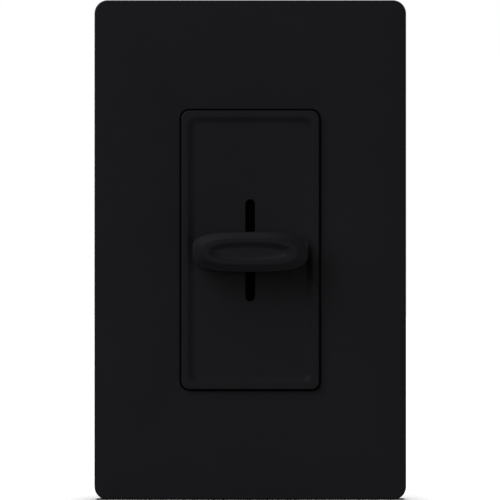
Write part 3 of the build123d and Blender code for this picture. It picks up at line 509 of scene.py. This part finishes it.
def peg_part(x, z):
    """A boss behind the insert's face with its peg, headed over behind the yoke."""
    profile = [(PEG_HEAD * across, -PEG_HEAD_THICK * behind) for across, behind in PEG_HEAD_PROFILE]
    profile += [(PEG_RADIUS, 0.0), (PEG_RADIUS, INSERT_BACK)]
    profile += [(PEG_BOSS, INSERT_BACK), (PEG_BOSS, insert_under_out)]
    rings = [turned_ring(radius, out, x, z) for radius, out in profile]
    return loft(rings, cap_first=True, cap_last=True)


def insert_shape():
    """The insert, with its two guide rails and four pegs."""
    parts = [loft(insert_rings(), closed=True)]
    for side in (-1, 1):
        low = (side * RAIL_X - RAIL_THICK / 2, -insert_under_out, -RAIL_LENGTH / 2)
        high = (side * RAIL_X + RAIL_THICK / 2, -RAIL_FOOT, RAIL_LENGTH / 2)
        parts.append(box_part(low, high))
        for end in (-1, 1):
            parts.append(peg_part(side * PEG_X, end * PEG_Z))
    return joined(parts)


piece("insert", insert_shape(), BODY, insert_black, "face_insert")

# ---------------------------------------------------------------- slider knob

KNOB_FOOT_HALF = (13.55 * MM, 4.68 * MM)
KNOB_BELT_HALF = (13.65 * MM, 4.78 * MM)
KNOB_POWER = 3.4
KNOB_EDGE = 0.25 * MM
CREST_HALF = (10.7 * MM, 2.8 * MM)
CREST_POWER = 2.8
CREST_HIGH = 0.62 * MM
BEVEL_STRAIGHT = 0.7        # share of the bevel that is straight before it rolls over to the crest
DISH_HALF = (10.1 * MM, 2.44 * MM)
DISH_REACH = (3.4 * MM, 2.15 * MM)
DISH_POWER = 2.5
DISH_DEPTH = 0.48 * MM
DISH_SHIFT = (-0.9 * MM, 0.25 * MM)     # from the dish's rim to its floor
DISH_STEPS = 20
BEVEL_STEPS = 14
HOLLOW_HALF = (12.2 * MM, 3.4 * MM)
HOLLOW_DEPTH = 3.6 * MM
POST_HALF = (1.95 * MM, 3.5 * MM)
POST_POWER = 8.0
KNOB_POINTS = 160


def oval_point(angle, half, power, centre=(0.0, 0.0)):
    """A point of a superellipse with the given half width and half height."""
    across = math.copysign(abs(math.cos(angle)) ** (2 / power), math.cos(angle))
    along = math.copysign(abs(math.sin(angle)) ** (2 / power), math.sin(angle))
    return centre[0] + across * half[0], centre[1] + along * half[1]


def mixed(first, second, share):
    """The value at a share of the way from first to second."""
    return first + (second - first) * share


def knob_ring(half, power, out, centre=(0.0, 0.0)):
    """A superellipse in front of the wall, whose centre is given from the knob's own."""
    ring = []
    for step in range(KNOB_POINTS):
        x, z = oval_point(2 * math.pi * step / KNOB_POINTS, half, power, centre)
        ring.append((x, -out, knob_z + z))
    return ring


def belt_rings(edge_out):
    """Rings round the edge between the knob's side and its bevel."""
    rings = []
    for step in range(EDGE_STEPS):
        angle = math.pi / 2 * step / EDGE_STEPS
        inset = KNOB_EDGE * (1 - math.cos(angle))
        half = (KNOB_BELT_HALF[0] - inset, KNOB_BELT_HALF[1] - inset)
        rings.append(knob_ring(half, KNOB_POWER, edge_out - KNOB_EDGE * (1 - math.sin(angle))))
    return rings


def bevel_rings(edge_out):
    """Rings up the knob's bevel, from its rounded outer edge to the flat crest round the dish."""
    rings = []
    outer = (KNOB_BELT_HALF[0] - KNOB_EDGE, KNOB_BELT_HALF[1] - KNOB_EDGE)
    for step in range(BEVEL_STEPS + 1):
        share = step / BEVEL_STEPS
        rolled = max(share - BEVEL_STRAIGHT, 0.0) ** 2 / (2 * (1 - BEVEL_STRAIGHT))
        out = edge_out + CREST_HIGH * (share - rolled) / ((1 + BEVEL_STRAIGHT) / 2)
        half = (mixed(outer[0], CREST_HALF[0], share), mixed(outer[1], CREST_HALF[1], share))
        rings.append(knob_ring(half, mixed(KNOB_POWER, CREST_POWER, share), out))
    return rings


def dish_ring(share):
    """A ring in the finger dish, whose side is steeper at the upper left than at the lower right."""
    half = (DISH_HALF[0] - DISH_REACH[0] * share, DISH_HALF[1] - DISH_REACH[1] * share)
    centre = (DISH_SHIFT[0] * share, DISH_SHIFT[1] * share)
    return knob_ring(half, DISH_POWER, knob_crest_out - DISH_DEPTH * side_drop(share), centre)


def knob_shape():
    """The knob, hollow behind but for the post that holds the stem."""
    edge_out = knob_crest_out - CREST_HIGH
    hollow_out = knob_foot_out + HOLLOW_DEPTH
    rings = [
        knob_ring(POST_HALF, POST_POWER, knob_foot_out),
        knob_ring(POST_HALF, POST_POWER, hollow_out),
        knob_ring(HOLLOW_HALF, KNOB_POWER, hollow_out),
        knob_ring(HOLLOW_HALF, KNOB_POWER, knob_foot_out),
        knob_ring(KNOB_FOOT_HALF, KNOB_POWER, knob_foot_out),
    ]
    rings += belt_rings(edge_out) + bevel_rings(edge_out)
    rings += [dish_ring(step / DISH_STEPS) for step in range(DISH_STEPS + 1)]
    return loft(rings, cap_first=True, cap_last=True)


piece("knob", knob_shape(), SLIDER, knob_black, "slider_knob", sharp=38.0)

# ---------------------------------------------------------------- screws

THREAD_RADIUS = 1.75 * MM
THREAD_CORE = 1.38 * MM
THREAD_PITCH = 0.794 * MM
THREAD_POINTS = 36
RINGS_PER_TURN = 8
THREAD_FLANK = 1.6          # a sharp V's height times this, less THREAD_ROOT, is cut to flats top and bottom
THREAD_ROOT = 0.3
TIP_TAPER = 0.5 * MM
TIP_RADIUS = 0.6 * THREAD_CORE
NECK_RADIUS = 1.6 * MM
YOKE_THICK = 1.6 * MM
BOX_SCREW_Z = 41.67 * MM
BOX_HEAD = 3.5 * MM
PLATE_SCREW_Z = 48.425 * MM
PLATE_HEAD = 3.1 * MM
PLATE_HEAD_HIGH = 1.4 * MM
DRIVER_HALF = 0.45 * MM
DRIVER_DEPTH = 0.9 * MM
DOME_DROP = 0.65            # share of its radius that a pan head loses at its top
DOME_POWER = 3.2
HEAD_STEPS = 6
HEAD_POINTS = 18
GROUND_COLLAR = 4.0 * MM
GROUND_COLLAR_THICK = 0.5 * MM
GROUND_HEAD = 3.6 * MM
GROUND_HEAD_HIGH = 1.9 * MM


def flat_ring(radius, w, count=THREAD_POINTS):
    """A circle across a screw's own axis, anticlockwise as seen from its head."""
    ring = []
    for step in range(count):
        angle = 2 * math.pi * step / count
        ring.append((radius * math.cos(angle), radius * math.sin(angle), w))
    return ring


def thread_rings(tip, end):
    """Rings along a right-hand thread, whose crest climbs one pitch towards the head at each turn."""
    count = max(2, round((end - tip) / THREAD_PITCH * RINGS_PER_TURN))
    rings = []
    for k in range(count + 1):
        w = tip + (end - tip) * k / count
        limit = min(THREAD_CORE + (w - tip) - TIP_TAPER, THREAD_RADIUS)
        ring = []
        for step in range(THREAD_POINTS):
            turn = step / THREAD_POINTS
            ridge = 1 - abs(2 * ((w / THREAD_PITCH - turn) % 1.0) - 1)
            high = min(max(THREAD_FLANK * ridge - THREAD_ROOT, 0.0), 1.0)
            radius = min(mixed(THREAD_CORE, THREAD_RADIUS, high), max(limit, TIP_RADIUS))
            angle = 2 * math.pi * turn
            ring.append((radius * math.cos(angle), radius * math.sin(angle), w))
        rings.append(ring)
    return rings


def dome(radius, share):
    """Radius of a pan head at a share of its height."""
    return radius * (1 - DOME_DROP * share**DOME_POWER)


def half_ring(radius, w, start):
    """One side of a slotted head at one height: an arc closed by the slot's wall."""
    cut = math.asin(DRIVER_HALF / radius)
    ring = []
    for step in range(HEAD_POINTS + 1):
        angle = start + cut + (math.pi - 2 * cut) * step / HEAD_POINTS
        ring.append((radius * math.cos(angle), radius * math.sin(angle), w))
    return ring


def pan_head(radius, low, high):
    """A domed head with a driver slot."""
    floor_share = 1 - DRIVER_DEPTH / (high - low)
    shares = [floor_share * k / HEAD_STEPS for k in range(HEAD_STEPS + 1)]
    body = [flat_ring(dome(radius, share), mixed(low, high, share)) for share in shares]
    parts = [loft(body, cap_first=True, cap_last=True)]
    for start in (0.0, math.pi):
        rings = []
        for k in range(HEAD_STEPS + 1):
            share = mixed(floor_share, 1.0, k / HEAD_STEPS)
            rings.append(half_ring(dome(radius, share), mixed(low, high, share), start))
        parts.append(loft(rings, cap_first=True, cap_last=True))
    return parts


def hexagon_head(low):
    """A collar and a hexagon head with a driver slot."""
    collar = [flat_ring(GROUND_COLLAR, low), flat_ring(GROUND_COLLAR, low + GROUND_COLLAR_THICK)]
    foot = low + GROUND_COLLAR_THICK
    slot_floor = foot + GROUND_HEAD_HIGH - DRIVER_DEPTH
    body = [flat_ring(GROUND_HEAD, foot, count=6), flat_ring(GROUND_HEAD, slot_floor, count=6)]
    parts = [loft(collar, cap_first=True, cap_last=True), loft(body, cap_first=True, cap_last=True)]
    rise = GROUND_HEAD * math.sin(math.pi / 3)
    end = GROUND_HEAD - DRIVER_HALF / math.tan(math.pi / 3)
    for side in (1, -1):
        outline = [(end, DRIVER_HALF), (GROUND_HEAD / 2, rise), (-GROUND_HEAD / 2, rise), (-end, DRIVER_HALF)]
        rings = [[(side * u, side * v, w) for u, v in outline] for w in (slot_floor, foot + GROUND_HEAD_HIGH)]
        parts.append(loft(rings, cap_first=True, cap_last=True))
    return parts


def in_wall(shape, z):
    """A screw made along its own axis, put across the wall plane at a height."""
    verts, faces = shape
    return [(u, -w, z + v) for u, v, w in verts], faces


def across_tab(shape, y, z):
    """A screw made along its own axis, put along +X."""
    verts, faces = shape
    return [(w, y + u, z + v) for u, v, w in verts], faces


def box_screws_shape():
    """The two wall box screws, with a plain neck where they pass through the yoke."""
    low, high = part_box("box_screws")
    parts = []
    for side in (-1, 1):
        shank = thread_rings(-high.y, 0.0)
        shank += [flat_ring(NECK_RADIUS, 0.0), flat_ring(NECK_RADIUS, YOKE_THICK)]
        screw = [loft(shank, cap_first=True, cap_last=True)] + pan_head(BOX_HEAD, YOKE_THICK, -low.y)
        parts.append(in_wall(joined(screw), side * BOX_SCREW_Z))
    return joined(parts)


def adapter_screws_shape():
    """The two screws that hold the adapter to the yoke."""
    top_out = -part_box("adapter_screws")[0].y
    parts = []
    foot = top_out - PLATE_HEAD_HIGH
    for side in (-1, 1):
        shank = loft(thread_rings(0.0, foot), cap_first=True, cap_last=True)
        screw = [shank] + pan_head(PLATE_HEAD, foot, top_out)
        parts.append(in_wall(joined(screw), side * PLATE_SCREW_Z))
    return joined(parts)


def ground_screw_shape():
    """The hexagon-head screw on the ground tab."""
    low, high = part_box("ground_screw")
    middle = (low + high) / 2
    foot = high.x - GROUND_HEAD_HIGH - GROUND_COLLAR_THICK
    shank = loft(thread_rings(low.x, foot), cap_first=True, cap_last=True)
    screw = [shank] + hexagon_head(foot)
    return across_tab(joined(screw), middle.y, middle.z)


piece("box_screw_pair", box_screws_shape(), BODY, zinc, "box_screws")
piece("adapter_screw_pair", adapter_screws_shape(), BODY, zinc, "adapter_screws")
piece("green_screw", ground_screw_shape(), BODY, green_dye, "ground_screw")

# ---------------------------------------------------------------- choke winding

WIRE_RADIUS = 0.4 * MM
WIRE_TURNS = 26
WIRE_SIDES = 8
WIRE_STEPS = 40
WIRE_POWER = 8.0            # of the superellipse that each turn follows round the core's section
WOUND_ARC = math.radians(308)
WOUND_START = math.radians(2)
CHOKE_INNER = 4.5 * MM


def wire_path():
    """Points of one wire wound round the ring core, with the middle of the core's section at each."""
    core_low, core_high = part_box("choke_core")
    core_centre = (core_low + core_high) / 2
    core_size = core_high - core_low
    outer = core_size.x / 2
    mean = (outer + CHOKE_INNER) / 2
    half = ((outer - CHOKE_INNER) / 2 + WIRE_RADIUS, core_size.y / 2 + WIRE_RADIUS)
    points, middles = [], []
    for k in range(WIRE_TURNS * WIRE_STEPS + 1):
        round_core = -WOUND_START - WOUND_ARC * k / (WIRE_TURNS * WIRE_STEPS)
        across, along = oval_point(2 * math.pi * (k % WIRE_STEPS) / WIRE_STEPS, half, WIRE_POWER)
        way = Vector((math.cos(round_core), 0.0, math.sin(round_core)))
        middle = core_centre + way * mean
        points.append(middle + way * across + Vector((0.0, along, 0.0)))
        middles.append(middle)
    return points, middles


def winding_shape():
    """The wire as a round tube along its path."""
    points, middles = wire_path()
    rings = []
    for k, (point, middle) in enumerate(zip(points, middles)):
        along = (points[min(k + 1, len(points) - 1)] - points[max(k - 1, 0)]).normalized()
        away = point - middle
        away = (away - along * away.dot(along)).normalized()
        aside = along.cross(away)
        ring = []
        for step in range(WIRE_SIDES):
            angle = 2 * math.pi * step / WIRE_SIDES
            ring.append(tuple(point + (away * math.cos(angle) + aside * math.sin(angle)) * WIRE_RADIUS))
        rings.append(ring)
    return loft(rings, cap_first=True, cap_last=True)


piece("wound_wire", winding_shape(), BODY, copper, "choke_winding", sharp=60.0)

# ---------------------------------------------------------------- floor

FLOOR_SIZE = 6.0


def floor_material():
    """Plain pale paper, with a slight change of tone."""
    made = Finish("studio_floor", 0.9, specular=0.1)
    made.colour(made.noise(scale=9.0, detail=4.0), (0.3, (0.80, 0.80, 0.80)), (0.7, (0.83, 0.83, 0.83)))
    made.rough_between(made.noise(scale=40.0), low=0.85, high=0.95)
    return made.material


half_floor = FLOOR_SIZE / 2
floor_mesh = bpy.data.meshes.new("floor")
floor_mesh.from_pydata(
    [
        (-half_floor, -half_floor, floor_z),
        (half_floor, -half_floor, floor_z),
        (half_floor, half_floor, floor_z),
        (-half_floor, half_floor, floor_z),
    ],
    [],
    [(0, 1, 2, 3)],
)
floor_mesh.materials.append(floor_material())
floor = bpy.data.objects.new("floor", floor_mesh)
bpy.context.scene.collection.objects.link(floor)
# The camera sees the pale floor and the white world, but neither lights the pieces or shows in them.
floor.visible_diffuse = False
floor.visible_glossy = False

# ---------------------------------------------------------------- light


def from_angles(off_axis, turn):
    """Way to a light, from its angle off the view's axis and its turn about it, from the right upwards."""
    off_axis, turn = math.radians(off_axis), math.radians(turn)
    across = math.sin(off_axis)
    return (across * math.cos(turn), -math.cos(off_axis), across * math.sin(turn))


def sun(name, direction, strength, spread):
    """Soft light from a direction given as the way from the object to the light."""
    data = bpy.data.lights.new(name, "SUN")
    data.energy = strength
    data.angle = math.radians(spread)
    made = bpy.data.objects.new(name, data)
    made.rotation_euler = Vector(direction).to_track_quat("Z", "Y").to_euler()
    bpy.context.scene.collection.objects.link(made)
    return made


# The first four light the face: two from the upper left, one by the camera and one from the lower right.
# The last three stand behind the plane of the face, and light the back and the sides.
object_lights = [
    sun("key", from_angles(off_axis=56, turn=146), strength=1.82, spread=50),
    sun("over", from_angles(off_axis=56, turn=118), strength=1.55, spread=50),
    sun("front", from_angles(off_axis=5, turn=135), strength=0.3, spread=36),
    sun("fill", from_angles(off_axis=52, turn=320), strength=0.7, spread=84),
    sun("back", (-0.3, 0.8, 0.5), strength=2.4, spread=60),
    sun("right_side", (0.9, 0.28, 0.33), strength=2.6, spread=30),
    sun("left_side", (-0.9, 0.28, 0.33), strength=1.8, spread=30),
]
floor_light = sun("top", (0.0, 0.0, 1.0), strength=4.6, spread=30)

on_object = bpy.data.collections.new("lit_pieces")
on_floor = bpy.data.collections.new("lit_floor")
on_floor.objects.link(floor)
for lit in bpy.context.scene.objects:
    if lit.type == "MESH" and lit != floor:
        on_object.objects.link(lit)
for light in object_lights:
    light.light_linking.receiver_collection = on_object
floor_light.light_linking.receiver_collection = on_floor

world = bpy.data.worlds.new("studio")
world.use_nodes = True
world.node_tree.nodes["Background"].inputs["Color"].default_value = (1.0, 1.0, 1.0, 1.0)
world.node_tree.nodes["Background"].inputs["Strength"].default_value = 1.0
world.cycles_visibility.diffuse = False
world.cycles_visibility.glossy = False
world.cycles_visibility.transmission = False
bpy.context.scene.world = world
bpy.context.scene.view_settings.view_transform = "Standard"

# ---------------------------------------------------------------- camera

CAMERA_DISTANCE = 1.1
SENSOR = 36.0
VIEW_SPAN = 119.317 * MM       # width of the view at the cover's face
VIEW_OFFSET = 0.064 * MM       # how far to the left of the object's middle the camera stands

camera_data = bpy.data.cameras.new("camera")
camera_data.sensor_width = SENSOR
camera_data.lens = SENSOR * CAMERA_DISTANCE / VIEW_SPAN
camera_data.clip_start = 0.01
camera = bpy.data.objects.new("camera", camera_data)
camera.location = (-VIEW_OFFSET, -(CAMERA_DISTANCE + cover_out), 0.0)
camera.rotation_euler = (math.radians(90), 0, 0)
bpy.context.scene.collection.objects.link(camera)
bpy.context.scene.camera = camera
